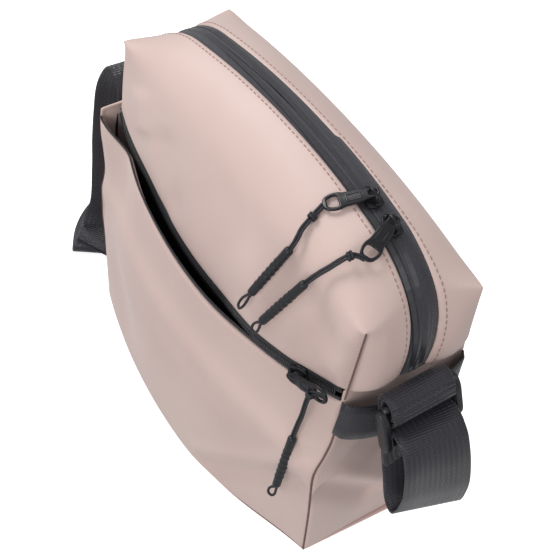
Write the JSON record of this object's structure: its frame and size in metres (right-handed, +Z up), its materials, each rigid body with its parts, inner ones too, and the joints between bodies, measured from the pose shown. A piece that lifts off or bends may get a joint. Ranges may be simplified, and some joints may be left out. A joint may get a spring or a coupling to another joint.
{
  "type": "crossbody sling bag",
  "caption": "Soft domed sling bag with a zip over the crown, a zipped front pocket, cord zip pulls, webbing side bands and a webbing strap with a slide adjuster.",
  "frame": {"origin": "centre of the flat base, on the surface it stands on", "axes": "+X along the bag towards the end with the adjuster, -Y out of the front with the pocket, +Z up"},
  "size_m": [0.3486, 0.1614, 0.2365],
  "materials": {
    "shell": "soft matte coated cloth",
    "lining": "plain woven",
    "zip_tape": "fine woven, satin",
    "zip_coil": "satin",
    "metal": "satin black",
    "webbing": "ribbed, with a sheen",
    "cord": "braided",
    "grip": "matte, ribbed",
    "adjuster_plastic": "satin"
  },
  "bodies": {
    "bag": {"front_panel_upper": "shell", "back_panel": "shell", "pocket_panel": "shell", "side_panel_left": "shell", "side_panel_right": "shell", "base_panel": "shell", "pocket_back_wall": "lining", "main_zip_tape_front": "zip_tape", "main_zip_tape_back": "zip_tape", "main_zip_coil_front": "zip_coil", "main_zip_coil_back": "zip_coil", "pocket_zip_tape_upper": "zip_tape", "pocket_zip_tape_lower": "zip_tape", "pocket_zip_coil_upper": "zip_coil", "pocket_zip_coil_lower": "zip_coil", "tab_webbing_left": "webbing", "tab_webbing_right": "webbing", "tri_glide": "adjuster_plastic", "strap_end_wrap": "webbing", "strap_right_loop": "webbing", "strap_right_drop": "webbing", "strap_back_run": "webbing", "strap_left_drop": "webbing"},
    "main_a_slider": {"main_a_slider": "metal"},
    "main_a_pull": {"main_a_pull": "metal"},
    "main_a_cord": {"main_a_cord": "cord", "main_a_cord_loop": "cord", "main_a_grip": "grip"},
    "main_b_slider": {"main_b_slider": "metal"},
    "main_b_pull": {"main_b_pull": "metal"},
    "main_b_cord": {"main_b_cord": "cord", "main_b_cord_loop": "cord", "main_b_grip": "grip"},
    "pocket_slider": {"pocket_slider": "metal"},
    "pocket_pull": {"pocket_pull": "metal"},
    "pocket_cord": {"pocket_cord": "cord", "pocket_cord_loop": "cord", "pocket_grip": "grip"}
  },
  "joints": [
    {"name": "main_a_travel", "type": "hinge", "parent": "bag", "child": "main_a_slider", "pos_m": [0, 0, -0.189], "axis": [0, 1, 0], "range_deg": [-20, 0]},
    {"name": "main_a_pull_swing", "type": "hinge", "parent": "main_a_slider", "child": "main_a_pull", "pos_m": [0.06683, 0, 0.23405], "axis": [-0.9878, 0, 0.156], "range_deg": [0, 150]},
    {"name": "main_a_cord_swing", "type": "hinge", "parent": "main_a_pull", "child": "main_a_cord", "pos_m": [0.06606, -0.02299, 0.22923], "axis": [-0.9878, 0, 0.156], "range_deg": [0, 8]},
    {"name": "main_b_travel", "type": "hinge", "parent": "bag", "child": "main_b_slider", "pos_m": [0.07328, 0, 0.17265], "axis": [0, 1, 0], "range_deg": [0, 28]},
    {"name": "main_b_pull_swing", "type": "hinge", "parent": "main_b_slider", "child": "main_b_pull", "pos_m": [0.08505, 0, 0.23077], "axis": [-0.9801, 0, 0.1986], "range_deg": [0, 150]},
    {"name": "main_b_cord_swing", "type": "hinge", "parent": "main_b_pull", "child": "main_b_cord", "pos_m": [0.08408, -0.02299, 0.22598], "axis": [-0.9801, 0, 0.1986], "range_deg": [0, 8]},
    {"name": "pocket_travel", "type": "hinge", "parent": "bag", "child": "pocket_slider", "pos_m": [0, 0.16701, 0.35456], "axis": [0, -0.6947, 0.7193], "range_deg": [-33.8, 0]},
    {"name": "pocket_pull_swing", "type": "hinge", "parent": "pocket_slider", "child": "pocket_pull", "pos_m": [0.09414, -0.05089, 0.14925], "axis": [-0.9539, -0.2158, -0.2084], "range_deg": [0, 35]},
    {"name": "pocket_cord_swing", "type": "hinge", "parent": "pocket_pull", "child": "pocket_cord", "pos_m": [0.09946, -0.05235, 0.12641], "axis": [-0.9539, -0.2158, -0.2084], "range_deg": [0, 8]}
  ]
}
